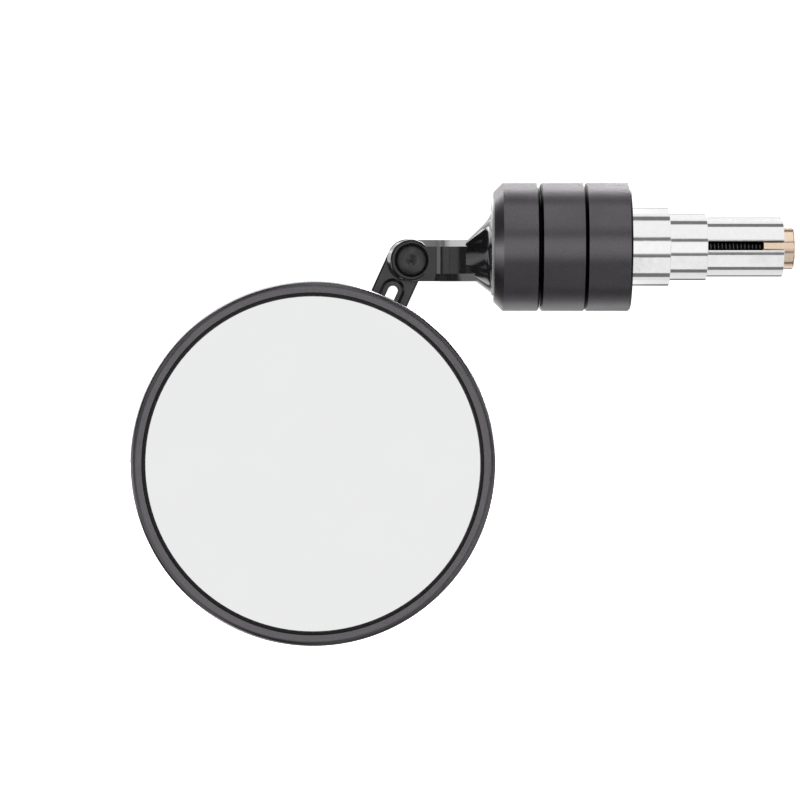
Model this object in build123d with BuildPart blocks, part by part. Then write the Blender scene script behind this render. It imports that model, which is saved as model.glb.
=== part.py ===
from build123d import *
import os
from math import cos, radians, sin, sqrt, tan

# Motorcycle bar end mirror, in millimetres.
# X runs along the bar axis into the handlebar, Z is up and the glass faces -Y.
# The origin is on the bar axis, where the handlebar's end butts against the inner weight.

# Gaps between pieces
face_gap = 0.05
fit_gap = 0.1
pivot_gap = 0.05
thread_gap = 0.05
ball_gap = 0.1

# Bar end rings
bar_end_d = 34.0
inner_weight_length = 11.95
centre_weight_length = 11.85
end_cap_length = 11.95
cap_gap = 0.4
cap_bevel = 2.4
cap_wall = 2.6
cap_lip = 2.0
ring_chamfer = 0.5
register_d = 22.0
register_length = 2.0

# Expander
large_step_d = 20.6
large_step_length = 10.3
middle_step_d = 17.6
middle_step_length = 9.9
small_step_d = 15.7
small_step_length = 20.2
step_chamfer = 0.1
sleeve_tail_relief = 0.6
sleeve_tail_length = 3.0
sleeve_bore_d = 7.0
sleeve_slot_width = 2.4
wedge_d = 11.7
wedge_overhang = 3.0
wedge_cone_length = 5.4
wedge_angle = 12.2
wedge_room = 0.45
wedge_round = 0.4
wedge_rib_width = 1.6
wedge_rib_inset = 0.6

# Expander screw
screw_d = 6.0
screw_hole_d = 6.6
screw_tip_inset = 0.6
screw_head_d = 10.0
screw_head_height = 6.0
screw_hex = 5.0
screw_hex_depth = 3.0
screw_web = 8.9
screw_washer_d = 12.0
screw_washer_thickness = 1.6

# Arm foot
hub_proud = 0.65
hub_edge = 0.35
flange_width = 1.4
flange_thickness = 2.6
swivel_washer_thickness = 1.0
swivel_washer_bore_d = 16.0
cone_length = 6.5
cone_drop = 2.1
cone_margin = 0.8
cone_bite = 2.4
cone_fillet = 0.7

# Arm bar and hinge boss
arm_height = 11.0
arm_drop = 3.65
arm_reach = 21.1
arm_bevel = 1.9
arm_bevel_depth = 2.3
neck_depth = 8.3
boss_flat = 6.4
scoop_run = 2.4
scoop_depth = 0.32
scoop_rise = 1.75
lap_room = 1.0
boss_depth = 4.2
boss_rake = 1.0
boss_edge = 0.6

# Hinge fasteners
pivot_d = 5.0
head_d = 7.6
head_height = 2.2
head_side = 1.3
head_pocket_d = 9.0
head_pocket_depth = 2.2
head_hex = 3.0
head_hex_depth = 1.2
head_hex_point = 0.7
friction_washer_d = 9.6
friction_washer_thickness = 0.5
spring_washer_d = 10.0
spring_washer_thickness = 0.6
spring_washer_cone = 0.35
pivot_nut_af = 8.0
pivot_nut_height = 3.2
thread_end = 0.8
nut_land = 0.2
nut_chamfer_angle = 30.0

# Hinge lug
lug_width = 10.4
lug_thickness = 4.5
lug_reach = 59.54
lug_angle = 24.45
lug_offset = 1.3
lug_slot_width = 2.6
lug_slot_start = 9.2
lug_slot_run = 24.0
lug_recess_width = 6.4
lug_recess_depth = 0.8
lug_recess_draft = 45.0
lug_chamfer = 0.45

# Ball joint
ball_d = 10.0
ball_standoff = 7.5
ball_neck_d = 5.5
stud_flange_d = 9.0
stud_flange_thickness = 1.2
stud_shank_d = 6.0
stud_nut_af = 10.0
stud_nut_height = 3.2
seat_thickness = 1.05
seat_front = 3.8
seat_back = 2.3
socket_floor_gap = 0.3
socket_web = 0.7

# Socket cap and its screws
socket_cap_thickness = 2.8
socket_cap_chamfer = 0.6
socket_cap_land = 0.4
cap_screw_count = 3
cap_screw_d = 3.0
cap_screw_head_d = 5.4
cap_screw_length = 7.0
cap_screw_hex = 2.0
cap_screw_hex_depth = 0.9

# Mirror head
rim_flat = 1.45
rim_round = 1.5
back_round = 1.2
dome_rise = 2.8
housing_wall = 2.0
socket_boss_land = 1.0
glass_gap = 0.05
glass_d = 88.05
glass_thickness = 2.0
glass_recess = 0.4
glass_bevel = 0.3
seal_width = 0.65
seal_recess = 0.45
tape_width = 6.5
tape_thickness = 0.8

# Stations along the bar axis
inner_left = -inner_weight_length
centre_left = inner_left - centre_weight_length
cap_right = centre_left - cap_gap
cap_left = cap_right - end_cap_length
lip_inside = cap_left + cap_lip
hub_face = cap_left - hub_proud
flange_left = lip_inside + face_gap
flange_right = flange_left + flange_thickness
washer_left = flange_right + face_gap
spigot_end = washer_left + swivel_washer_thickness
large_end = large_step_length
middle_end = large_end + middle_step_length
small_end = middle_end + small_step_length
wedge_end = small_end + wedge_overhang
wedge_tip = small_end - wedge_cone_length
wedge_slope = tan(radians(wedge_angle))
wedge_tip_r = wedge_d / 2 - wedge_cone_length * wedge_slope
taper_start = small_end - (wedge_d / 2 + wedge_room - sleeve_bore_d / 2) / wedge_slope
screw_floor = inner_left - screw_web
screw_seat = screw_floor - screw_washer_thickness - face_gap
screw_tip = wedge_end - screw_tip_inset
cone_tip_x = hub_face - cone_length
pivot_x = hub_face - arm_reach

# Stations across the arm, from the front to the back
lap_face = -(friction_washer_thickness + face_gap) / 2
boss_front = lap_face - boss_depth
scoop_floor = boss_front + scoop_depth
neck_front = scoop_floor - scoop_rise
pocket_floor = boss_front + head_pocket_depth
head_top = pocket_floor - head_height
hex_floor = head_top + head_hex_depth
lug_front = lap_face + friction_washer_thickness + face_gap
lug_back = lug_front + lug_thickness
spring_face = lug_back + face_gap
nut_face = spring_face + spring_washer_thickness + spring_washer_cone
nut_back = nut_face + pivot_nut_height
stud_nut_back = lug_back + stud_nut_height
ball_y = lug_front - ball_standoff
cap_back = ball_y + socket_cap_thickness

# Radii that several pieces share
bar_end_r = bar_end_d / 2
cap_bore_r = bar_end_r - cap_wall
spigot_r = cap_bore_r - fit_gap
flange_r = cap_bore_r - fit_gap
hub_r = flange_r - flange_width
cone_r = hub_r - cone_drop - cone_margin
boss_r = arm_height / 2
ball_r = ball_d / 2
seat_inner_r = ball_r + ball_gap
seat_outer_r = seat_inner_r + seat_thickness
socket_r = seat_outer_r + ball_gap
cap_screw_circle_r = socket_r + socket_cap_land + cap_screw_head_d / 2
socket_cap_r = cap_screw_circle_r + cap_screw_head_d / 2 + socket_cap_land + socket_cap_chamfer
socket_boss_r = socket_cap_r + socket_boss_land
glass_r = glass_d / 2
seal_inner_r = glass_r + glass_gap
seal_outer_r = seal_inner_r + seal_width
rim_inner_r = seal_outer_r + glass_gap
mirror_r = rim_inner_r + rim_flat + rim_round
screw_pocket_r = screw_washer_d / 2 + fit_gap
sleeve_tail_r = large_step_d / 2 - sleeve_tail_relief

# Places of the hinge and of the mirror's axis
pivot_z = -arm_drop
along = Vector(sin(radians(lug_angle)), 0, cos(radians(lug_angle)))
across = Vector(cos(radians(lug_angle)), 0, -sin(radians(lug_angle)))
pivot_point = Vector(pivot_x, 0, pivot_z)
mirror_point = pivot_point - along * lug_reach - across * lug_offset
pivot_axis = Axis(pivot_point, (0, 1, 0))
mirror_axis = Axis(mirror_point, (0, 1, 0))
pivot_section = Plane(origin=pivot_point, x_dir=(1, 0, 0), z_dir=(0, 0, 1))
mirror_section = Plane(origin=mirror_point, x_dir=(1, 0, 0), z_dir=(0, 0, 1))
lug_plane = Plane(origin=pivot_point + Vector(0, lug_front, 0), x_dir=across, z_dir=(0, -1, 0))
cap_plane = Plane(origin=mirror_point + Vector(0, cap_back, 0), x_dir=(1, 0, 0), z_dir=(0, 1, 0))
nut_plane = Plane(origin=pivot_point + Vector(0, nut_face, 0), x_dir=(1, 0, 0), z_dir=(0, 1, 0))
stud_nut_plane = Plane(origin=mirror_point + Vector(0, lug_back, 0), x_dir=across, z_dir=(0, 1, 0))


def zone_r(radius, distance):
    """Radius of a ball's section at a distance from its centre."""
    return sqrt(radius**2 - distance**2)


def nut_blank(face, back, flats):
    """Half section of a nut's turned blank, whose cones take off the hexagon's corners."""
    land_r = flats / 2 - nut_land
    ridge_r = land_r + (back - face) / 2 / tan(radians(nut_chamfer_angle))
    return [(0, face), (land_r, face), (ridge_r, (face + back) / 2), (land_r, back), (0, back)]


def save(builder, name):
    """Names a finished piece and writes its file."""
    builder.part.label = name
    export_step(builder.part, f"parts/{name}.step")


os.makedirs("parts", exist_ok=True)

# Inner weight: the ring against the handlebar's end, recessed for the sleeve's tail
with BuildPart() as inner_weight:
    with BuildSketch(Plane.XZ):
        with BuildLine():
            Polyline(
                (inner_left - register_length, screw_hole_d / 2),
                (inner_left - register_length, register_d / 2),
                (inner_left, register_d / 2),
                (inner_left, bar_end_r - ring_chamfer),
                (inner_left + ring_chamfer, bar_end_r),
                (-ring_chamfer, bar_end_r),
                (0, bar_end_r - ring_chamfer),
                (0, large_step_d / 2 + face_gap),
                (-sleeve_tail_relief, sleeve_tail_r + face_gap),
                (-sleeve_tail_length, sleeve_tail_r + face_gap),
                (-sleeve_tail_length, screw_hole_d / 2),
                close=True,
            )
        make_face()
    revolve(axis=Axis.X)
save(inner_weight, "inner_weight")

# Centre weight: the ring that carries the cap on its spigot and hides the screw's head
with BuildPart() as centre_weight:
    with BuildSketch(Plane.XZ):
        with BuildLine():
            Polyline(
                (spigot_end, screw_pocket_r),
                (spigot_end, spigot_r - ring_chamfer),
                (spigot_end + ring_chamfer, spigot_r),
                (centre_left, spigot_r),
                (centre_left, bar_end_r - ring_chamfer),
                (centre_left + ring_chamfer, bar_end_r),
                (inner_left - ring_chamfer, bar_end_r),
                (inner_left, bar_end_r - ring_chamfer),
                (inner_left, register_d / 2 + fit_gap),
                (inner_left - register_length - fit_gap, register_d / 2 + fit_gap),
                (inner_left - register_length - fit_gap, screw_hole_d / 2),
                (screw_floor, screw_hole_d / 2),
                (screw_floor, screw_pocket_r),
                close=True,
            )
        make_face()
    revolve(axis=Axis.X)
save(centre_weight, "centre_weight")

# End cap: a bevelled union nut whose lip holds the arm's flange
with BuildPart() as end_cap:
    with BuildSketch(Plane.XZ):
        with BuildLine():
            Polyline(
                (cap_left, hub_r + fit_gap),
                (cap_left, bar_end_r - cap_bevel),
                (cap_left + cap_bevel, bar_end_r),
                (cap_right - ring_chamfer, bar_end_r),
                (cap_right, bar_end_r - ring_chamfer),
                (cap_right, cap_bore_r),
                (lip_inside, cap_bore_r),
                (lip_inside, hub_r + fit_gap),
                close=True,
            )
        make_face()
    revolve(axis=Axis.X)
save(end_cap, "end_cap")

# Swivel washer: the friction ring between the arm's flange and the spigot
with BuildPart() as swivel_washer:
    with BuildSketch(Plane.YZ.offset(washer_left)):
        Circle(cap_bore_r - fit_gap)
        Circle(swivel_washer_bore_d / 2, mode=Mode.SUBTRACT)
    extrude(amount=swivel_washer_thickness)
save(swivel_washer, "swivel_washer")

# Expander sleeve: three steps for three bar bores, split by one saw cut in its smallest step
with BuildPart() as expander_sleeve:
    with BuildSketch(Plane.XZ):
        with BuildLine():
            Polyline(
                (-sleeve_tail_length, sleeve_bore_d / 2),
                (-sleeve_tail_length, sleeve_tail_r),
                (0, sleeve_tail_r),
                (0, large_step_d / 2),
                (large_end - step_chamfer, large_step_d / 2),
                (large_end, large_step_d / 2 - step_chamfer),
                (large_end, middle_step_d / 2),
                (middle_end - step_chamfer, middle_step_d / 2),
                (middle_end, middle_step_d / 2 - step_chamfer),
                (middle_end, small_step_d / 2),
                (small_end - step_chamfer, small_step_d / 2),
                (small_end, small_step_d / 2 - step_chamfer),
                (small_end, wedge_d / 2 + wedge_room),
                (taper_start, sleeve_bore_d / 2),
                close=True,
            )
        make_face()
    revolve(axis=Axis.X)
    with BuildSketch(Plane.XZ):
        with Locations((middle_end, 0)):
            Rectangle(small_step_length, sleeve_slot_width, align=(Align.MIN, Align.CENTER))
    extrude(amount=small_step_d, both=True, mode=Mode.SUBTRACT)
save(expander_sleeve, "expander_sleeve")

# Expander wedge: a brass cone nut with two ribs that slide in the saw cut
with BuildPart() as expander_wedge:
    with BuildSketch(Plane.XZ):
        with BuildLine():
            Polyline(
                (wedge_end, wedge_d / 2 - wedge_round),
                (wedge_end, screw_d / 2 + thread_gap),
                (wedge_tip, screw_d / 2 + thread_gap),
                (wedge_tip, wedge_tip_r),
                (small_end, wedge_d / 2),
                (wedge_end - wedge_round, wedge_d / 2),
            )
            TangentArc(
                (wedge_end - wedge_round, wedge_d / 2),
                (wedge_end, wedge_d / 2 - wedge_round),
                tangent=(1, 0),
            )
        make_face()
    revolve(axis=Axis.X)
    with BuildSketch(Plane.XY):
        with Locations((wedge_tip, 0)):
            Rectangle(
                wedge_end - wedge_round - wedge_tip,
                small_step_d - 2 * wedge_rib_inset,
                align=(Align.MIN, Align.CENTER),
            )
    extrude(amount=wedge_rib_width / 2, both=True)
    with BuildSketch(Plane.YZ.offset(wedge_tip)):
        Circle(screw_d / 2 + thread_gap)
    extrude(amount=wedge_end - wedge_tip, mode=Mode.SUBTRACT)
save(expander_wedge, "expander_wedge")

# Expander screw: a socket screw from the centre weight to the wedge
with BuildPart() as expander_screw:
    with BuildSketch(Plane.XZ):
        with BuildLine():
            Polyline(
                (screw_seat - screw_head_height, 0),
                (screw_seat - screw_head_height, screw_head_d / 2 - ring_chamfer),
                (screw_seat - screw_head_height + ring_chamfer, screw_head_d / 2),
                (screw_seat, screw_head_d / 2),
                (screw_seat, screw_d / 2),
                (screw_tip - ring_chamfer, screw_d / 2),
                (screw_tip, screw_d / 2 - ring_chamfer),
                (screw_tip, 0),
                close=True,
            )
        make_face()
    revolve(axis=Axis.X)
    with BuildSketch(Plane.YZ.offset(screw_seat - screw_head_height)):
        RegularPolygon(screw_hex / 2, 6, major_radius=False)
    extrude(amount=screw_hex_depth, mode=Mode.SUBTRACT)
save(expander_screw, "expander_screw")

# Screw washer
with BuildPart() as screw_washer:
    with BuildSketch(Plane.YZ.offset(screw_floor)):
        Circle(screw_washer_d / 2)
        Circle(screw_hole_d / 2, mode=Mode.SUBTRACT)
    extrude(amount=-screw_washer_thickness)
save(screw_washer, "screw_washer")

# Hinge boss: a raked round with a rounded front edge, later one piece with the arm
with BuildPart() as hinge_boss:
    with BuildSketch(Plane.XZ.offset(-boss_front)):
        with Locations((pivot_x, pivot_z)):
            Circle(boss_r)
    with BuildSketch(Plane.XZ.offset(-lap_face)):
        with Locations((pivot_x - boss_rake, pivot_z)):
            Circle(boss_r)
    loft()
    fillet(hinge_boss.edges().filter_by(GeomType.CIRCLE).sort_by(Axis.Y)[0], boss_edge)

# Arm: bar, hinge boss, hub with flange and eccentric cone, all in one piece
shoulder_x = pivot_x + lug_width / 2 + lug_offset + lap_room
scoop_start_x = pivot_x + boss_flat
scoop_floor_x = scoop_start_x + scoop_run
scoop_end_x = cone_tip_x + cone_bite
neck_end_x = hub_face - cone_fillet
with BuildPart() as arm:
    # The bar in plan: its scooped front runs up into the cone, and it is half cut away for the lug
    with BuildSketch(Plane.XY.offset(pivot_z - arm_height / 2)):
        with BuildLine():
            TangentArc(
                (scoop_floor_x, scoop_floor),
                (scoop_start_x, boss_front),
                tangent=(-1, 0),
            )
            Polyline(
                (scoop_start_x, boss_front),
                (pivot_x, boss_front),
                (pivot_x, lap_face),
                (shoulder_x, lap_face),
                (shoulder_x, neck_depth / 2),
                (neck_end_x, neck_depth / 2),
                (neck_end_x, neck_front),
                (scoop_end_x, neck_front),
            )
            TangentArc(
                (scoop_floor_x, scoop_floor),
                (scoop_end_x, neck_front),
                tangent=(1, 0),
            )
        make_face()
    extrude(amount=arm_height)
    for side in (0, -1):
        level = arm.faces().sort_by(Axis.Z)[side]
        front_edges = level.edges().filter_by_position(Axis.Y, neck_front, scoop_floor)
        chamfer(front_edges, arm_bevel_depth, arm_bevel, reference=level)
    back_edges = arm.edges().group_by(Axis.Y)[-1]
    chamfer(back_edges.filter_by(Axis.X), arm_bevel)
    add(hinge_boss.part)
    # The hub and the flange that turn in the end cap
    with BuildSketch(Plane.XZ):
        with BuildLine():
            Polyline(
                (hub_face, 0),
                (hub_face, hub_r - hub_edge),
                (hub_face + hub_edge, hub_r),
                (flange_left, hub_r),
                (flange_left, flange_r),
                (flange_right, flange_r),
                (flange_right, 0),
                close=True,
            )
        make_face()
    revolve(axis=Axis.X)
    # The cone stands off centre on the hub and narrows onto the bar
    with BuildSketch(Plane.YZ.offset(hub_face)):
        with Locations((0, -cone_drop)):
            Circle(cone_r)
    with BuildSketch(Plane.YZ.offset(cone_tip_x)):
        with Locations((0, (pivot_z - cone_drop) / 2)):
            Circle(neck_depth / 2)
    loft()
    hub_rings = arm.edges().filter_by(GeomType.CIRCLE).filter_by_position(Axis.X, hub_face, hub_face)
    fillet(hub_rings.sort_by(SortBy.RADIUS)[0], cone_fillet)
    with Locations(Plane(origin=(pivot_x, boss_front, pivot_z), x_dir=(1, 0, 0), z_dir=(0, -1, 0))):
        CounterBoreHole(pivot_d / 2 + fit_gap, head_pocket_d / 2, head_pocket_depth)
save(arm, "arm")

# Pivot screw: domed head with a hexagon socket, sunk in the boss
with BuildPart() as pivot_screw:
    with BuildSketch(pivot_section):
        with BuildLine():
            TangentArc(
                (0, head_top),
                (head_d / 2, pocket_floor - head_side),
                tangent=(1, 0),
            )
            Polyline(
                (head_d / 2, pocket_floor - head_side),
                (head_d / 2, pocket_floor),
                (pivot_d / 2, pocket_floor),
                (pivot_d / 2, nut_back + thread_end - ring_chamfer),
                (pivot_d / 2 - ring_chamfer, nut_back + thread_end),
                (0, nut_back + thread_end),
                (0, head_top),
            )
        make_face()
    revolve(axis=pivot_axis)
    with BuildSketch(Plane.XZ.offset(-head_top)):
        with Locations((pivot_x, pivot_z)):
            RegularPolygon(head_hex / 2, 6, major_radius=False, rotation=30)
    extrude(amount=-head_hex_depth, mode=Mode.SUBTRACT)
    # The socket ends in a drill point
    with BuildSketch(pivot_section):
        with BuildLine():
            Polyline(
                (0, head_top),
                (head_hex / 2, head_top),
                (head_hex / 2, hex_floor),
                (0, hex_floor + head_hex_point),
                close=True,
            )
        make_face()
    revolve(axis=pivot_axis, mode=Mode.SUBTRACT)
save(pivot_screw, "pivot_screw")

# Friction washer between the boss and the lug
with BuildPart() as friction_washer:
    with BuildSketch(Plane.XZ.offset(-lap_face)):
        with Locations((pivot_x, pivot_z)):
            Circle(friction_washer_d / 2)
            Circle(pivot_d / 2 + fit_gap, mode=Mode.SUBTRACT)
    extrude(amount=-friction_washer_thickness)
save(friction_washer, "friction_washer")

# Spring washer: a shallow cone that presses on the lug's back
with BuildPart() as spring_washer:
    with BuildSketch(pivot_section):
        with BuildLine():
            Polyline(
                (pivot_d / 2 + fit_gap, spring_face + spring_washer_cone),
                (spring_washer_d / 2, spring_face),
                (spring_washer_d / 2, spring_face + spring_washer_thickness),
                (pivot_d / 2 + fit_gap, nut_face),
                close=True,
            )
        make_face()
    revolve(axis=pivot_axis)
save(spring_washer, "spring_washer")

# Pivot nut
with BuildPart() as pivot_nut:
    with BuildSketch(nut_plane):
        RegularPolygon(pivot_nut_af / 2, 6, major_radius=False)
        Circle(pivot_d / 2 + thread_gap, mode=Mode.SUBTRACT)
    extrude(amount=pivot_nut_height)
    with BuildSketch(pivot_section):
        with BuildLine():
            Polyline(nut_blank(nut_face, nut_back, pivot_nut_af), close=True)
        make_face()
    revolve(axis=pivot_axis, mode=Mode.INTERSECT)
save(pivot_nut, "pivot_nut")

# Hinge lug: a flat bar from the pivot to the ball, with a slot along it
with BuildPart() as hinge_lug:
    with BuildSketch(lug_plane):
        with Locations((-lug_offset, -lug_reach / 2)):
            SlotCenterToCenter(lug_reach, lug_width, rotation=90)
    extrude(amount=-lug_thickness)
    outline = hinge_lug.faces().filter_by(Axis.Y).edges()
    chamfer(outline, lug_chamfer)
    with BuildSketch(lug_plane):
        with Locations((-lug_offset, -lug_slot_start - lug_slot_run / 2)):
            SlotCenterToCenter(lug_slot_run, lug_recess_width, rotation=90)
    extrude(amount=-lug_recess_depth, taper=lug_recess_draft, mode=Mode.SUBTRACT)
    with BuildSketch(lug_plane):
        with Locations((-lug_offset, -lug_slot_start - lug_slot_run / 2)):
            SlotCenterToCenter(lug_slot_run, lug_slot_width, rotation=90)
        with Locations((0, 0)):
            Circle(pivot_d / 2 + pivot_gap)
        with Locations((-lug_offset, -lug_reach)):
            Circle(stud_shank_d / 2 + pivot_gap)
    extrude(amount=-lug_thickness, mode=Mode.SUBTRACT)
save(hinge_lug, "hinge_lug")

# Ball stud: ball, neck, flange on the lug's face and shank through the lug
with BuildPart() as ball_stud:
    with BuildSketch(mirror_section):
        with BuildLine():
            neck_start = ball_y + zone_r(ball_r, ball_neck_d / 2)
            TangentArc((0, ball_y - ball_r), (ball_neck_d / 2, neck_start), tangent=(1, 0))
            Polyline(
                (ball_neck_d / 2, neck_start),
                (ball_neck_d / 2, lug_front - stud_flange_thickness),
                (stud_flange_d / 2, lug_front - stud_flange_thickness),
                (stud_flange_d / 2, lug_front),
                (stud_shank_d / 2, lug_front),
                (stud_shank_d / 2, stud_nut_back + thread_end - ring_chamfer),
                (stud_shank_d / 2 - ring_chamfer, stud_nut_back + thread_end),
                (0, stud_nut_back + thread_end),
                (0, ball_y - ball_r),
            )
        make_face()
    revolve(axis=mirror_axis)
save(ball_stud, "ball_stud")

# Stud nut
with BuildPart() as stud_nut:
    with BuildSketch(stud_nut_plane):
        RegularPolygon(stud_nut_af / 2, 6, major_radius=False, rotation=30)
        Circle(stud_shank_d / 2 + thread_gap, mode=Mode.SUBTRACT)
    extrude(amount=stud_nut_height)
    with BuildSketch(mirror_section):
        with BuildLine():
            Polyline(nut_blank(lug_back, stud_nut_back, stud_nut_af), close=True)
        make_face()
    revolve(axis=mirror_axis, mode=Mode.INTERSECT)
save(stud_nut, "stud_nut")

# Ball seat: a plastic zone of a ball between the stud and the socket
with BuildPart() as ball_seat:
    with BuildSketch(mirror_section):
        with BuildLine():
            inner_front = (zone_r(seat_inner_r, seat_front), ball_y - seat_front)
            outer_front = (zone_r(seat_outer_r, seat_front), ball_y - seat_front)
            inner_back = (zone_r(seat_inner_r, seat_back), ball_y + seat_back)
            outer_back = (zone_r(seat_outer_r, seat_back), ball_y + seat_back)
            Line(inner_front, outer_front)
            ThreePointArc(outer_front, (seat_outer_r, ball_y), outer_back)
            Line(outer_back, inner_back)
            ThreePointArc(inner_back, (seat_inner_r, ball_y), inner_front)
        make_face()
    revolve(axis=mirror_axis)
save(ball_seat, "ball_seat")

# Mirror housing: a turned dish with a rim in front and the ball's socket behind
ledge = ball_y - ball_r - socket_floor_gap - socket_web
rim_front = ledge - tape_thickness - glass_thickness - glass_recess
dome_edge = ball_y - dome_rise
tape_outer_r = glass_r
tape_inner_r = tape_outer_r - tape_width
with BuildPart() as mirror_housing:
    with BuildSketch(mirror_section):
        with BuildLine():
            Polyline(
                (0, ball_y),
                (0, ledge),
                (socket_boss_r, ledge),
                (socket_boss_r, ball_y - housing_wall),
            )
            TangentArc(
                (socket_boss_r, ball_y - housing_wall),
                (tape_inner_r, dome_edge - housing_wall),
                tangent=(1, 0),
            )
            Polyline(
                (tape_inner_r, dome_edge - housing_wall),
                (tape_inner_r, ledge),
                (rim_inner_r, ledge),
                (rim_inner_r, rim_front),
                (rim_inner_r + rim_flat, rim_front),
            )
            TangentArc(
                (rim_inner_r + rim_flat, rim_front),
                (mirror_r, rim_front + rim_round),
                tangent=(1, 0),
            )
            Line((mirror_r, rim_front + rim_round), (mirror_r, dome_edge - back_round))
            TangentArc(
                (mirror_r, dome_edge - back_round),
                (mirror_r - back_round, dome_edge),
                tangent=(0, 1),
            )
            TangentArc(
                (socket_boss_r, ball_y),
                (mirror_r - back_round, dome_edge),
                tangent=(1, 0),
            )
            Line((socket_boss_r, ball_y), (0, ball_y))
        make_face()
    revolve(axis=mirror_axis)
    # The socket is a half ball with a flat floor
    with BuildSketch(mirror_section):
        with BuildLine():
            socket_depth = ball_r + socket_floor_gap
            socket_floor_r = zone_r(socket_r, socket_depth)
            Polyline(
                (socket_r, ball_y),
                (0, ball_y),
                (0, ball_y - socket_depth),
                (socket_floor_r, ball_y - socket_depth),
            )
            TangentArc(
                (socket_r, ball_y),
                (socket_floor_r, ball_y - socket_depth),
                tangent=(0, -1),
            )
        make_face()
    revolve(axis=mirror_axis, mode=Mode.SUBTRACT)
    with Locations(cap_plane):
        with PolarLocations(cap_screw_circle_r, cap_screw_count):
            Hole(cap_screw_d / 2 + fit_gap, cap_screw_length + fit_gap)
save(mirror_housing, "mirror_housing")

# Socket cap: the plate that closes the socket behind the ball's middle
with BuildPart() as socket_cap:
    with BuildSketch(mirror_section):
        with BuildLine():
            cap_mouth = (zone_r(socket_r, socket_cap_thickness), cap_back)
            TangentArc((socket_r, ball_y), cap_mouth, tangent=(0, 1))
            Polyline(
                cap_mouth,
                (socket_cap_r - socket_cap_chamfer, cap_back),
                (socket_cap_r, cap_back - socket_cap_chamfer),
                (socket_cap_r, ball_y),
                (socket_r, ball_y),
            )
        make_face()
    revolve(axis=mirror_axis)
    with Locations(cap_plane):
        with PolarLocations(cap_screw_circle_r, cap_screw_count):
            CounterSinkHole(cap_screw_d / 2 + fit_gap, cap_screw_head_d / 2 + fit_gap, counter_sink_angle=90)
save(socket_cap, "socket_cap")

# Socket cap screws: countersunk, flush with the cap's back
cap_screw_cone = (cap_screw_head_d - cap_screw_d) / 2
with BuildPart(cap_plane) as socket_cap_screws:
    with PolarLocations(cap_screw_circle_r, cap_screw_count):
        Cone(
            cap_screw_d / 2,
            cap_screw_head_d / 2,
            cap_screw_cone,
            align=(Align.CENTER, Align.CENTER, Align.MAX),
        )
        Cylinder(cap_screw_d / 2, cap_screw_length, align=(Align.CENTER, Align.CENTER, Align.MAX))
    with BuildSketch(cap_plane):
        with PolarLocations(cap_screw_circle_r, cap_screw_count):
            RegularPolygon(cap_screw_hex / 2, 6, major_radius=False)
    extrude(amount=-cap_screw_hex_depth, mode=Mode.SUBTRACT)
save(socket_cap_screws, "socket_cap_screws")

# Mirror glass: a flat disc with a ground edge
with BuildPart() as mirror_glass:
    with BuildSketch(mirror_section):
        with BuildLine():
            glass_front = rim_front + glass_recess
            Polyline(
                (0, glass_front),
                (glass_r - glass_bevel, glass_front),
                (glass_r, glass_front + glass_bevel),
                (glass_r, glass_front + glass_thickness),
                (0, glass_front + glass_thickness),
                close=True,
            )
        make_face()
    revolve(axis=mirror_axis)
save(mirror_glass, "mirror_glass")

# Glass tape: a ring of foam tape on the housing's ledge
with BuildPart() as glass_tape:
    with BuildSketch(Plane.XZ.offset(-ledge)):
        with Locations((mirror_point.X, mirror_point.Z)):
            Circle(tape_outer_r)
            Circle(tape_inner_r, mode=Mode.SUBTRACT)
    extrude(amount=tape_thickness)
save(glass_tape, "glass_tape")

# Glass seal: the black ring that fills the gap between the glass and the rim
with BuildPart() as glass_seal:
    with BuildSketch(Plane.XZ.offset(-ledge)):
        with Locations((mirror_point.X, mirror_point.Z)):
            Circle(seal_outer_r)
            Circle(seal_inner_r, mode=Mode.SUBTRACT)
    extrude(amount=ledge - rim_front - glass_recess - seal_recess)
save(glass_seal, "glass_seal")
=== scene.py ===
from math import atan, cos, degrees, pi, radians, sin, sqrt, tan, tau

import bmesh
import bpy
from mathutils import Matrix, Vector


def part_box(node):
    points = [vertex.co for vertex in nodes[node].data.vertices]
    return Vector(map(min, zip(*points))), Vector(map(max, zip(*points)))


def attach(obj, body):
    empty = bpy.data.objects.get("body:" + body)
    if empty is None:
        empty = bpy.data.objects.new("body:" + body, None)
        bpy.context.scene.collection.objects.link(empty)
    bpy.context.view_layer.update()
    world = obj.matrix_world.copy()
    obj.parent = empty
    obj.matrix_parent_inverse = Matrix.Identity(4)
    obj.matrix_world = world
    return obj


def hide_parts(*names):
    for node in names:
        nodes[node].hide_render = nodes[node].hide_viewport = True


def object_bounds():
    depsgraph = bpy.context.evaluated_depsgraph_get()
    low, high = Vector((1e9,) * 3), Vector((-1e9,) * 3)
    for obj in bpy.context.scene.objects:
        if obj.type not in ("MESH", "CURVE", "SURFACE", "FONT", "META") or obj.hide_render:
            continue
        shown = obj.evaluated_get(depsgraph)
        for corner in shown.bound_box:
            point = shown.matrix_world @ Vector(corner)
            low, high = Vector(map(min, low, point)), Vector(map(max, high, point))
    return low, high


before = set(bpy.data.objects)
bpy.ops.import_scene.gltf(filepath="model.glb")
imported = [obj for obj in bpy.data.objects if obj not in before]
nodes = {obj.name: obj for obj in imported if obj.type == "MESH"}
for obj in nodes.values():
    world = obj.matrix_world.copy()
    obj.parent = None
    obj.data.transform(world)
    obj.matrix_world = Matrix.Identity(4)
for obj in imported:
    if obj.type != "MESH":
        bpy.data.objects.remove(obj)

# Motorcycle bar end mirror: looks, in metres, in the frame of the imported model.
# X runs along the bar axis, the glass faces -Y and Z is up.

MM = 0.001
cad_low, cad_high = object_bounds()

# Camera: square to the glass, level with the middle of the object
CAMERA_PLACE = Vector((-60.96, -930.0, -40.64)) * MM
CAMERA_LENS = 157.5
CAMERA_SENSOR = 36.0

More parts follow.
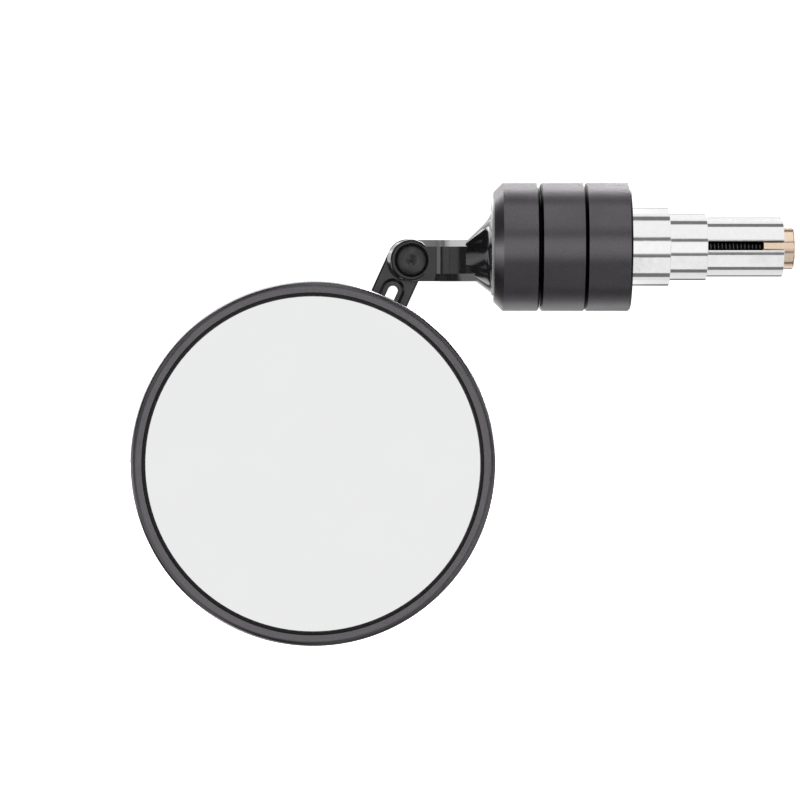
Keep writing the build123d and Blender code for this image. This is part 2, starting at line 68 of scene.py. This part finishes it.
# Floor
FLOOR_DROP = 60 * MM
FLOOR_SIZE = 12.0
FLOOR_ROUGHNESS = 0.9
FLOOR_GLOW = 1.0
FLOOR_GRAIN = 8.0
FLOOR_GREYS = (0.96, 0.98)

# Grain of the finishes: where its ramps start and end, and how strong its relief is
GRAIN_STOPS = (0.3, 0.7)
GRAIN_DETAIL = 4.0
GRAIN_ROUGHNESS = 0.6
GLOSS_SCALE = 120.0
METAL_RELIEF = 0.4
PLASTIC_RELIEF = 0.5

# Polished black of the arm, dull pocket round the screw's head and bare hub
ARM_IOR = 1.54
ARM_GRAIN = 900.0
ARM_GRAIN_DEPTH = 0.001 * MM
ARM_RELIEF = 0.3
ARM_BLACKS = ((0.004, 0.004, 0.0045), (0.008, 0.008, 0.009))
HUB_GREYS = ((0.62, 0.61, 0.62), (0.70, 0.69, 0.70))
ARM_ROUGHNESS = (0.075, 0.085)
POCKET_ROUGHNESS = 0.75
POCKET_EDGE = 0.506
HUB_ROUGHER = 0.5

# Expander screw: M6 with a hexagon socket
SCREW_SIDES = 48
THREAD_PITCH = 1.0 * MM
THREAD_LENGTH = 32 * MM
THREAD_CREST = 2.97 * MM
THREAD_ROOT = 2.40 * MM
CREST_SHARE = 0.2
HEAD_RADIUS = 5.0 * MM
HEAD_HEIGHT = 6.0 * MM
HEAD_EDGE = 0.5 * MM
HEX_HALF = 2.5 * MM
HEX_DEPTH = 3.0 * MM
SCREW_WELD = 0.001 * MM
SCREW_SHARP = radians(28)

# Middle of the hinge, for the pocket in the boss
screw_low, screw_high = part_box("pivot_screw")
pivot_place = (screw_low + screw_high) / 2
POCKET_RADIUS = 4.5 * MM

# Grooves between the bar end's rings and the bevel at its inner end: middles and half widths
CAP_GAP = 0.4 * MM
CENTRE_LENGTH = 11.85 * MM
RING_CHAMFER = 0.5 * MM
BUTT_BEVEL_MIDDLE = 0.52
cap_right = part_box("end_cap")[1].x
butt_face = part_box("inner_weight")[1].x
GROOVES = [
    (cap_right + CAP_GAP / 2, CAP_GAP / 2 + RING_CHAMFER),
    (cap_right + CAP_GAP + CENTRE_LENGTH, RING_CHAMFER),
    (butt_face - BUTT_BEVEL_MIDDLE * RING_CHAMFER, RING_CHAMFER / 2),
]
# Painted shade: near-black base colour laid into the grooves in place of the shadow inside them
GROOVE_SHADE_BLACK = (0.008, 0.008, 0.008, 1)

# The arm's hub stands out of the end cap
HUB_PROUD = 0.65 * MM
HUB_REACH = 12.45 * MM
hub_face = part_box("end_cap")[0].x - HUB_PROUD

# The arm's top bevel, and how its faces are told from the others
ARM_HALF_HEIGHT = 5.5 * MM
BEVEL_HEIGHT = 1.9 * MM
BEVEL_DEPTH = 2.3 * MM
LONG_BEVEL_DEPTH = 3.6 * MM
BEVEL_END = 3.0 * MM
BEVEL_RISE = 0.3
BEVEL_SLOPE_ROOM = 0.02
BEVEL_FACING = 2
BOSS_ROOM = 0.02 * MM

# The arm's foot, from the end of the bar to the hub; pairs are for its two ends
FOOT_LENGTH = 6.8 * MM
FOOT_FRONT = (4.90 * MM, 10.06 * MM)
FOOT_BACK = (4.10 * MM, 10.06 * MM)
FOOT_HALF_HEIGHT = (4.20 * MM, 10.06 * MM)
FOOT_MIDDLE = (-2.91 * MM, -2.10 * MM)
FOOT_SQUARENESS = (4.0, 2.0)
FOOT_ROUNDING = 1.5
FOOT_END_SHARE = 0.2
FOOT_FLARE = 6.0 * MM
FOOT_LIFT = 0.01 * MM
FOOT_ROOT = 0.25 * MM
FOOT_SIDES = 144
FOOT_STEPS = 16
FLARE_STEPS = 10
FOOT_SHARP = radians(35)


def new_material(name):
    """A node material with its Principled shader, ready for links."""
    material = bpy.data.materials.new(name)
    material.use_nodes = True
    tree = material.node_tree
    shader = tree.nodes["Principled BSDF"]
    return material, tree, shader


def add(tree, kind, **values):
    """A new node with its properties and unlinked inputs set by name."""
    node = tree.nodes.new(kind)
    for key, value in values.items():
        if key in node.inputs:
            node.inputs[key].default_value = value
        else:
            setattr(node, key, value)
    return node


def math_node(tree, operation, first, second=None):
    """A math node; each input is a socket or a number."""
    node = add(tree, "ShaderNodeMath", operation=operation)
    for socket, value in zip(node.inputs, (first, second)):
        if isinstance(value, (int, float)):
            socket.default_value = value
        elif value is not None:
            tree.links.new(value, socket)
    return node.outputs["Value"]


def ramp(tree, source, stops):
    """A colour ramp from a value socket; stops are (position, grey or colour)."""
    node = tree.nodes.new("ShaderNodeValToRGB")
    band = node.color_ramp
    while len(band.elements) < len(stops):
        band.elements.new(0.5)
    for element, (place, colour) in zip(band.elements, stops):
        element.position = place
        grey = isinstance(colour, (int, float))
        element.color = (colour, colour, colour, 1) if grey else (*colour, 1)
    tree.links.new(source, node.inputs["Fac"])
    return node.outputs["Color"]


def object_point(tree):
    """The point in the object's own coordinates, which are the frame's."""
    return tree.nodes.new("ShaderNodeTexCoord").outputs["Object"]


def noise(tree, point, scale):
    """Fine noise from 0 to 1."""
    node = add(
        tree, "ShaderNodeTexNoise", Scale=scale, Detail=GRAIN_DETAIL, Roughness=GRAIN_ROUGHNESS
    )
    tree.links.new(point, node.inputs["Vector"])
    return node.outputs["Fac"]


def grain_ramp(tree, grain, ends):
    """Colours or greys between two ends, spread by the grain."""
    return ramp(tree, grain, list(zip(GRAIN_STOPS, ends)))


def bump(tree, height, shader, strength, distance):
    """Relief of the shader's surface from a height socket."""
    node = add(tree, "ShaderNodeBump", Strength=strength, Distance=distance)
    tree.links.new(height, node.inputs["Height"])
    tree.links.new(node.outputs["Normal"], shader.inputs["Normal"])


def stretched(tree, point, factors):
    """The point scaled along the axes, for brushed and turned grain."""
    node = add(tree, "ShaderNodeMapping")
    node.inputs["Scale"].default_value = factors
    tree.links.new(point, node.inputs["Vector"])
    return node.outputs["Vector"]


def metal(name, dark, light, rough_low, rough_high, grain, grain_depth, stretch=(1, 1, 1)):
    """Metal whose colour and gloss vary with a fine grain."""
    material, tree, shader = new_material(name)
    shader.inputs["Metallic"].default_value = 1.0
    point = stretched(tree, object_point(tree), stretch)
    fine = noise(tree, point, grain)
    broad = noise(tree, object_point(tree), GLOSS_SCALE)
    tree.links.new(grain_ramp(tree, fine, (dark, light)), shader.inputs["Base Color"])
    tree.links.new(grain_ramp(tree, broad, (rough_low, rough_high)), shader.inputs["Roughness"])
    bump(tree, fine, shader, METAL_RELIEF, grain_depth)
    return material


def paint_groove_shade(material):
    """Painted shade: deep black base colour in the grooves between the rings, standing in for the
    shadow where little light gets in.
    """
    tree = material.node_tree
    base = tree.nodes["Principled BSDF"].inputs["Base Color"]
    parts = add(tree, "ShaderNodeSeparateXYZ")
    tree.links.new(object_point(tree), parts.inputs["Vector"])
    in_groove = 0.0
    for middle, half_width in GROOVES:
        away = math_node(tree, "ABSOLUTE", math_node(tree, "SUBTRACT", parts.outputs["X"], middle))
        near = math_node(tree, "LESS_THAN", away, half_width)
        in_groove = math_node(tree, "ADD", near, in_groove)
    # Painted shade mixed over the ring's own colour inside the grooves
    colour = add(tree, "ShaderNodeMix", data_type="RGBA")
    colour.inputs["B"].default_value = GROOVE_SHADE_BLACK
    tree.links.new(in_groove, colour.inputs["Factor"])
    tree.links.new(base.links[0].from_socket, colour.inputs["A"])
    tree.links.new(colour.outputs["Result"], base)


def plastic(name, dark, light, rough, grain, grain_depth):
    """Plastic, rubber or foam with a fine grain."""
    material, tree, shader = new_material(name)
    shader.inputs["Roughness"].default_value = rough
    fine = noise(tree, object_point(tree), grain)
    tree.links.new(grain_ramp(tree, fine, (dark, light)), shader.inputs["Base Color"])
    bump(tree, fine, shader, PLASTIC_RELIEF, grain_depth)
    return material


def gloss_black(name):
    """Polished black arm: dull in the screw's pocket and bare on the hub."""
    material, tree, shader = new_material(name)
    shader.inputs["IOR"].default_value = ARM_IOR
    point = object_point(tree)
    fine = noise(tree, point, ARM_GRAIN)
    parts = add(tree, "ShaderNodeSeparateXYZ")
    tree.links.new(point, parts.inputs["Vector"])
    on_hub = math_node(tree, "GREATER_THAN", parts.outputs["X"], hub_face)
    colour = add(tree, "ShaderNodeMix", data_type="RGBA")
    tree.links.new(on_hub, colour.inputs["Factor"])
    tree.links.new(grain_ramp(tree, fine, ARM_BLACKS), colour.inputs["A"])
    tree.links.new(grain_ramp(tree, fine, HUB_GREYS), colour.inputs["B"])
    tree.links.new(colour.outputs["Result"], shader.inputs["Base Color"])
    tree.links.new(on_hub, shader.inputs["Metallic"])
    aside = math_node(tree, "SUBTRACT", parts.outputs["X"], pivot_place.x)
    above = math_node(tree, "SUBTRACT", parts.outputs["Z"], pivot_place.z)
    aside_squared = math_node(tree, "POWER", aside, 2.0)
    above_squared = math_node(tree, "POWER", above, 2.0)
    away = math_node(tree, "SQRT", math_node(tree, "ADD", aside_squared, above_squared))
    # The ramp runs over twice the pocket's radius, so the pocket ends at its middle
    reach = math_node(tree, "DIVIDE", away, 2 * POCKET_RADIUS)
    near, far = ARM_ROUGHNESS
    rough = ramp(tree, reach, [(0.5, POCKET_ROUGHNESS), (POCKET_EDGE, near), (1.0, far)])
    rougher = math_node(tree, "MULTIPLY", on_hub, HUB_ROUGHER)
    tree.links.new(math_node(tree, "ADD", rough, rougher), shader.inputs["Roughness"])
    bump(tree, fine, shader, ARM_RELIEF, ARM_GRAIN_DEPTH)
    return material


# Each metal: dark and light colour, low and high roughness, scale and depth of the grain.
# Each plastic: dark and light colour, roughness, scale and depth of the grain.
SATIN = ((0.145, 0.138, 0.146), (0.185, 0.176, 0.187), 0.28, 0.33, 3000.0, 0.06 * MM)
satin_black = metal("satin_black", *SATIN)
# The rings' satin black, with painted shade in the grooves between them
ring_black_groove_shade = metal("ring_black_groove_shade", *SATIN)
paint_groove_shade(ring_black_groove_shade)
lug_black = metal(
    "lug_black", (0.075, 0.073, 0.076), (0.105, 0.102, 0.106), 0.3, 0.36, 4200.0, 0.01 * MM
)
polished_black = gloss_black("polished_black")
aluminium = metal(
    "turned_aluminium", (0.88, 0.875, 0.88), (0.92, 0.915, 0.92), 0.07, 0.11, 700.0, 0.016 * MM
)
brass = metal(
    "turned_brass", (0.92, 0.71, 0.53), (0.97, 0.79, 0.62), 0.15, 0.20, 400.0, 0.006 * MM,
    stretch=(6, 1, 1),
)
oxide_steel = metal(
    "black_oxide_steel", (0.17, 0.168, 0.17), (0.23, 0.228, 0.23), 0.2, 0.28, 3000.0, 0.004 * MM
)
button_steel = metal(
    "button_head_steel", (0.125, 0.123, 0.125), (0.16, 0.157, 0.16), 0.4, 0.46, 3000.0, 0.004 * MM
)
thread_steel = metal(
    "thread_steel", (0.09, 0.089, 0.09), (0.12, 0.119, 0.12), 0.2, 0.28, 3000.0, 0.003 * MM
)
zinc_steel = metal(
    "zinc_steel", (0.55, 0.55, 0.56), (0.68, 0.68, 0.69), 0.2, 0.3, 1500.0, 0.004 * MM
)
silvered = metal(
    "silvered_glass", (0.795, 0.797, 0.8), (0.803, 0.805, 0.808), 0.0, 0.01, 60.0, 0.00001 * MM
)
nylon = plastic("nylon", (0.02, 0.02, 0.021), (0.035, 0.035, 0.036), 0.45, 2000.0, 0.01 * MM)
rubber = plastic("rubber", (0.004, 0.004, 0.004), (0.009, 0.009, 0.009), 0.6, 4000.0, 0.02 * MM)
foam = plastic("foam", (0.02, 0.02, 0.02), (0.05, 0.05, 0.05), 0.9, 3000.0, 0.05 * MM)

finishes = {
    satin_black: ["mirror_housing", "socket_cap"],
    ring_black_groove_shade: ["inner_weight", "centre_weight", "end_cap"],
    lug_black: ["hinge_lug"],
    polished_black: ["arm"],
    aluminium: ["expander_sleeve"],
    brass: ["expander_wedge"],
    oxide_steel: ["pivot_nut", "stud_nut", "socket_cap_screws"],
    button_steel: ["pivot_screw"],
    thread_steel: ["expander_screw"],
    zinc_steel: ["screw_washer", "spring_washer", "ball_stud"],
    silvered: ["mirror_glass"],
    nylon: ["swivel_washer", "friction_washer", "ball_seat"],
    foam: ["glass_tape"],
    rubber: ["glass_seal"],
}
for material, names in finishes.items():
    for name in names:
        nodes[name].data.materials.clear()
        nodes[name].data.materials.append(material)


def link(name, data):
    """A new object in the scene."""
    piece = bpy.data.objects.new(name, data)
    bpy.context.scene.collection.objects.link(piece)
    return piece


def finished(mesh, name, material, sharp_angle):
    """The built mesh as an object that is smooth, apart from edges past the angle."""
    bmesh.ops.recalc_face_normals(mesh, faces=mesh.faces)
    data = bpy.data.meshes.new(name)
    mesh.to_mesh(data)
    mesh.free()
    data.shade_smooth()
    data.set_sharp_from_angle(angle=sharp_angle)
    data.materials.append(material)
    return link(name, data)


# Expander screw with its cut thread
def round_radius(radius):
    """Radius of a circle's outline at any angle."""
    return lambda turn: radius


def hex_radius(half):
    """Radius of a hexagon's outline at an angle, for a hexagon of that half width."""
    return lambda turn: half / cos((turn + pi / 6) % (pi / 3) - pi / 6)


def thread_form(part):
    """Radius along one pitch: a flat crest, then two flanks that meet in the root."""
    if part < CREST_SHARE:
        return THREAD_CREST
    flank = (1 - CREST_SHARE) / 2
    return THREAD_ROOT + (THREAD_CREST - THREAD_ROOT) * abs(part - CREST_SHARE - flank) / flank


def threaded_screw():
    """Head with a hexagon socket, plain shank and a helical thread, as one closed mesh."""
    low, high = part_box("expander_screw")
    head_x, tip_x = low.x, high.x
    seat_x = head_x + HEAD_HEIGHT
    start_x = tip_x - THREAD_LENGTH
    mesh = bmesh.new()

    def ring(x, radius_at):
        """A closed row of points about the screw's axis."""
        points = []
        for side in range(SCREW_SIDES):
            turn = tau * side / SCREW_SIDES
            radius = radius_at(turn)
            points.append(mesh.verts.new((x, radius * cos(turn), radius * sin(turn))))
        return points

    def join(first, second):
        """A band of faces between two rings."""
        for side in range(SCREW_SIDES):
            after = (side + 1) % SCREW_SIDES
            mesh.faces.new((first[side], first[after], second[after], second[side]))

    def close(points, x):
        """A fan of faces from a ring to its middle."""
        middle = mesh.verts.new((x, 0, 0))
        for side in range(SCREW_SIDES):
            mesh.faces.new((points[side], points[(side + 1) % SCREW_SIDES], middle))

    rings = [
        ring(head_x + HEX_DEPTH, hex_radius(HEX_HALF)),
        ring(head_x, hex_radius(HEX_HALF)),
        ring(head_x, round_radius(HEAD_RADIUS - HEAD_EDGE)),
        ring(head_x + HEAD_EDGE, round_radius(HEAD_RADIUS)),
        ring(seat_x, round_radius(HEAD_RADIUS)),
        ring(seat_x, round_radius(THREAD_CREST)),
        ring(start_x, round_radius(THREAD_CREST)),
    ]
    for first, second in zip(rings, rings[1:]):
        join(first, second)
    close(rings[0], head_x + HEX_DEPTH)

    # The thread's rows follow the helix; both ends run out to a plain ring
    places = [0.0, CREST_SHARE, (1 + CREST_SHARE) / 2]
    turns = round(THREAD_LENGTH / THREAD_PITCH)
    rows = []
    for turn_count in range(-1, turns + 1):
        for place in places:
            row = []
            for side in range(SCREW_SIDES):
                along = (turn_count + place + side / SCREW_SIDES) * THREAD_PITCH
                x = min(max(start_x + along, start_x), tip_x)
                run_out = min(1.0, (tip_x - x) / THREAD_PITCH)
                run_in = min(1.0, (x - start_x) / THREAD_PITCH)
                radius = THREAD_CREST + (thread_form(place) - THREAD_CREST) * run_in
                radius = THREAD_ROOT + (radius - THREAD_ROOT) * run_out
                angle = tau * side / SCREW_SIDES
                row.append(mesh.verts.new((x, radius * cos(angle), radius * sin(angle))))
            rows.append(row)
    step = len(places)
    for index in range(len(rows) - 1):
        first, second = rows[index], rows[index + 1]
        for side in range(SCREW_SIDES - 1):
            mesh.faces.new((first[side], first[side + 1], second[side + 1], second[side]))
        if index + step + 1 < len(rows):
            third, fourth = rows[index + step], rows[index + step + 1]
            mesh.faces.new((first[-1], third[0], fourth[0], second[-1]))
    close(rows[-1], tip_x)
    bmesh.ops.remove_doubles(mesh, verts=mesh.verts, dist=SCREW_WELD)
    bmesh.ops.dissolve_degenerate(mesh, edges=mesh.edges, dist=SCREW_WELD)
    piece = finished(mesh, "threaded_screw", thread_steel, SCREW_SHARP)
    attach(piece, "clamp_screw")
    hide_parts("expander_screw")


threaded_screw()


# The arm's bar with a longer bevel along its top
def long_bevel_arm():
    """The arm's mesh with the upper edge of its top bevel moved back."""
    data = nodes["arm"].data.copy()
    data.name = "long_bevel_arm"
    top = pivot_place.z + ARM_HALF_HEIGHT
    foot = top - BEVEL_HEIGHT
    bevel_faces = []
    for face in data.polygons:
        normal, middle = face.normal, face.center
        level = Vector((normal.x, normal.y)).length
        along_bevel = (
            normal.z > BEVEL_RISE
            and abs(level / normal.z - BEVEL_HEIGHT / BEVEL_DEPTH) < BEVEL_SLOPE_ROOM
        )
        away = Vector((middle.x - pivot_place.x, middle.z - pivot_place.z)).length
        clear = away > ARM_HALF_HEIGHT + BOSS_ROOM and middle.x < hub_face - BEVEL_END
        if along_bevel and clear and normal.y < -BEVEL_FACING * abs(normal.x):
            bevel_faces.append(face)
    normals = [Vector(corner.vector) for corner in data.corner_normals]
    places = set()
    for face in bevel_faces:
        for corner in face.loop_indices:
            normals[corner].z *= LONG_BEVEL_DEPTH / BEVEL_DEPTH
            normals[corner].normalize()
        for index in face.vertices:
            places.add(data.vertices[index].co.copy().freeze())
    for vertex in data.vertices:
        if vertex.co.copy().freeze() in places:
            share = min(1.0, max(0.0, (vertex.co.z - foot) / BEVEL_HEIGHT))
            vertex.co.y += (LONG_BEVEL_DEPTH - BEVEL_DEPTH) * share
    data.normals_split_custom_set(normals)
    piece = link("long_bevel_arm", data)
    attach(piece, "swivel_arm")
    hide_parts("arm")


long_bevel_arm()


# The arm's foot: from the squared end of the bar to the round hub, with a hollow flare
def blended(ends, share):
    """The value at a share of the way from one end to the other."""
    return ends[0] + (ends[1] - ends[0]) * share


def foot_radius(share, turn):
    """Radius about the foot's middle; turn is 0 at the front and pi/2 at the top."""
    squared, round_end = FOOT_SQUARENESS
    square = round_end + (squared - round_end) * (1 - share) ** FOOT_ROUNDING
    depth = blended(FOOT_FRONT if cos(turn) > 0 else FOOT_BACK, share)
    height = blended(FOOT_HALF_HEIGHT, share)
    return (abs(cos(turn) / depth) ** square + abs(sin(turn) / height) ** square) ** (-1 / square)


def foot_profile(turn):
    """Points (x, radius) from the bar to the hub's face at an angle about the foot's middle."""
    start_x = hub_face - FOOT_LENGTH
    end_x = hub_face - FOOT_LIFT
    wide = foot_radius(1.0, turn)
    before = foot_radius(1 - FOOT_END_SHARE, turn)
    slope = atan((wide - before) / (FOOT_END_SHARE * FOOT_LENGTH))
    # The flare stays on the hub's face
    off = FOOT_MIDDLE[1] * sin(turn)
    room = sqrt(HUB_REACH**2 - (FOOT_MIDDLE[1] * cos(turn)) ** 2) - off - wide
    reach = min(FOOT_FLARE * tan((pi / 2 - slope) / 2), room)
    flare_x = end_x - reach * cos(slope)
    points = []
    for step in range(FOOT_STEPS):
        x = start_x + (flare_x - start_x) * step / FOOT_STEPS
        points.append((x, foot_radius((x - start_x) / FOOT_LENGTH, turn)))
    first = (flare_x, foot_radius((flare_x - start_x) / FOOT_LENGTH, turn))
    corner = (end_x, wide)
    last = (end_x, wide + reach)
    for step in range(FLARE_STEPS + 1):
        part = step / FLARE_STEPS
        weights = ((1 - part) ** 2, 2 * part * (1 - part), part**2)
        bends = list(zip(weights, (first, corner, last)))
        points.append(tuple(sum(weight * end[axis] for weight, end in bends) for axis in (0, 1)))
    points.append((hub_face + FOOT_ROOT, wide + reach))
    return points


def arm_foot():
    """The foot as one closed mesh that starts inside the bar and ends inside the hub."""
    mesh = bmesh.new()
    columns = []
    for side in range(FOOT_SIDES):
        turn = tau * side / FOOT_SIDES
        column = []
        for x, radius in foot_profile(turn):
            share = min(1.0, (x - hub_face + FOOT_LENGTH) / FOOT_LENGTH)
            middle = blended(FOOT_MIDDLE, share)
            column.append(mesh.verts.new((x, -radius * cos(turn), middle + radius * sin(turn))))
        columns.append(column)
    for side in range(FOOT_SIDES):
        first, second = columns[side], columns[(side + 1) % FOOT_SIDES]
        for step in range(len(first) - 1):
            mesh.faces.new((first[step], second[step], second[step + 1], first[step + 1]))
    mesh.faces.new([column[0] for column in columns])
    mesh.faces.new([column[-1] for column in columns])
    piece = finished(mesh, "arm_foot", polished_black, FOOT_SHARP)
    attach(piece, "swivel_arm")


arm_foot()

# Camera
lens = bpy.data.cameras.new("camera")
lens.lens = CAMERA_LENS
lens.sensor_width = CAMERA_SENSOR
camera = link("camera", lens)
camera.location = CAMERA_PLACE
camera.rotation_euler = (radians(90), 0, 0)
bpy.context.scene.camera = camera

# Floor: a wide pale sheet below the object, lit evenly from within
floor_mesh = bpy.data.meshes.new("floor")
half = FLOOR_SIZE / 2
floor_z = cad_low.z - FLOOR_DROP
floor_corners = [(-half, -half), (half, -half), (half, half), (-half, half)]
floor_mesh.from_pydata([(x, y, floor_z) for x, y in floor_corners], [], [(0, 1, 2, 3)])
floor_sheet = link("floor", floor_mesh)
floor_sheet.visible_glossy = False
floor_finish, floor_tree, floor_shader = new_material("pale_floor")
floor_shader.inputs["Roughness"].default_value = FLOOR_ROUGHNESS
floor_shader.inputs["Emission Color"].default_value = (1, 1, 1, 1)
floor_shader.inputs["Emission Strength"].default_value = FLOOR_GLOW
floor_grain = noise(floor_tree, object_point(floor_tree), FLOOR_GRAIN)
floor_tree.links.new(
    grain_ramp(floor_tree, floor_grain, FLOOR_GREYS), floor_shader.inputs["Base Color"]
)
floor_mesh.materials.append(floor_finish)

# Studio light: soft panels round the object with dark gaps between them.
# Each has its light, the turn about X in degrees that it covers (0 towards the camera, 90 up),
# the lean along X that it covers and the width of its soft edges along X.
AMBIENT = 0.03
BACKDROP_LIGHT = 1.3
TURN_EDGE = 3.0
PANELS = [
    (0.16, -25, 200, -0.10, 0.20, 0.05),
    (0.05, -200, -25, -0.10, 0.20, 0.05),
    (0.10, -200, -25, 0.055, 0.125, 0.02),
    (0.40, -21, 14, -0.30, 0.14, 0.04),
    (0.45, -21, 14, -0.085, 0.115, 0.02),
    (2.40, -4, 8, 0.28, 0.42, 0.03),
    (0.50, -25, 25, -0.34, -0.14, 0.04),
    (0.10, -75, 75, -0.55, -0.38, 0.04),
    (0.24, -75, 75, -0.84, -0.55, 0.06),
    (0.79, 28, 81.5, -0.06, 0.16, 0.05),
    (0.80, -85, -35, 0.062, 0.12, 0.015),
    (0.30, -80, -25, 0.18, 0.36, 0.04),
    (0.79, 102.5, 158, 0.058, 0.125, 0.015),
    (0.80, 116, 200, -0.12, 0.045, 0.03),
    (14.0, 120, 200, 0.16, 0.40, 0.03),
    (0.66, -146, -105, 0.058, 0.125, 0.015),
    (0.80, -200, -121, -0.12, 0.045, 0.03),
    (0.80, -200, -121, 0.15, 0.40, 0.03),
    (5.00, 100, 140, -0.55, -0.16, 0.05),
    (3.00, 120, 140, -0.15, -0.012, 0.02),
    (1.60, -128, -97, -0.50, -0.16, 0.05),
    (0.50, -150, -128, -0.45, -0.16, 0.05),
    (2.60, -126, -97, -0.56, -0.42, 0.04),
    (1.30, 140, 200, -0.62, -0.34, 0.05),
    (0.98, 140, 200, -0.34, -0.12, 0.05),
    (0.30, -200, -145, -0.55, -0.36, 0.05),
    (1.10, -200, -150, -0.36, -0.20, 0.05),
    (0.50, -200, -140, -0.20, -0.12, 0.05),
    (0.12, -200, 200, 0.45, 1.06, 0.05),
    (0.45, 30, 80, 0.48, 1.06, 0.05),
    (0.70, 102, 160, 0.48, 1.06, 0.05),
    (0.60, -65, -16, 0.48, 1.06, 0.05),
    (0.55, -165, -105, 0.48, 1.06, 0.05),
    (0.45, -65, -16, -0.85, -0.42, 0.05),
    (0.30, 25, 75, -0.85, -0.42, 0.05),
    (0.55, 150, 200, -0.96, -0.66, 0.03),
    (0.55, -200, -150, -0.96, -0.66, 0.03),
    (2.30, 155, 169, -0.82, -0.60, 0.04),
    (1.60, -169, -160, -0.82, -0.52, 0.04),
    (4.00, 146, 157, -0.70, -0.60, 0.03),
    (0.90, -106, -96, 0.006, 0.02, 0.006),
]
# A low panel at the far left, given by its light, its height and its lean along X
SIDE_LIGHT = 1.65
SIDE_HEIGHT = (-0.22, 0.03, 0.05)
SIDE_LEAN = (-1.1, -0.95, 0.02)
world = bpy.data.worlds.new("studio")
world.use_nodes = True
bpy.context.scene.world = world
sky = world.node_tree
sky.nodes.clear()
sky_parts = add(sky, "ShaderNodeSeparateXYZ")
sky.links.new(sky.nodes.new("ShaderNodeTexCoord").outputs["Generated"], sky_parts.inputs["Vector"])
lean = sky_parts.outputs["X"]
toward = math_node(sky, "MULTIPLY", sky_parts.outputs["Y"], -1.0)
turn = math_node(sky, "ARCTAN2", sky_parts.outputs["Z"], toward)
turn = math_node(sky, "MULTIPLY", turn, degrees(1))


def inside(source, low, high, edge):
    """1 between low and high, falling softly to 0 over the edge outside them."""
    away = math_node(sky, "ABSOLUTE", math_node(sky, "SUBTRACT", source, (low + high) / 2))
    node = add(sky, "ShaderNodeMapRange", interpolation_type="SMOOTHSTEP")
    reach = (high - low) / 2
    node.inputs["From Min"].default_value = reach
    node.inputs["From Max"].default_value = reach + edge
    node.inputs["To Min"].default_value = 1.0
    node.inputs["To Max"].default_value = 0.0
    sky.links.new(away, node.inputs["Value"])
    return node.outputs["Result"]


total = AMBIENT
for light, turn_low, turn_high, lean_low, lean_high, lean_edge in PANELS:
    area = math_node(
        sky,
        "MULTIPLY",
        inside(turn, turn_low, turn_high, TURN_EDGE),
        inside(lean, lean_low, lean_high, lean_edge),
    )
    total = math_node(sky, "ADD", math_node(sky, "MULTIPLY", area, light), total)
side_area = math_node(
    sky, "MULTIPLY", inside(sky_parts.outputs["Z"], *SIDE_HEIGHT), inside(lean, *SIDE_LEAN)
)
total = math_node(sky, "ADD", math_node(sky, "MULTIPLY", side_area, SIDE_LIGHT), total)
studio = add(sky, "ShaderNodeBackground", Strength=1.0)
sky.links.new(total, studio.inputs["Color"])
# The camera itself sees a plain white backdrop
backdrop = add(sky, "ShaderNodeBackground", Strength=BACKDROP_LIGHT)
backdrop.inputs["Color"].default_value = (1, 1, 1, 1)
seen = add(sky, "ShaderNodeMixShader")
sky.links.new(sky.nodes.new("ShaderNodeLightPath").outputs["Is Camera Ray"], seen.inputs["Fac"])
sky.links.new(studio.outputs["Background"], seen.inputs[1])
sky.links.new(backdrop.outputs["Background"], seen.inputs[2])
output = sky.nodes.new("ShaderNodeOutputWorld")
sky.links.new(seen.outputs["Shader"], output.inputs["Surface"])
bpy.context.scene.view_settings.view_transform = "Standard"
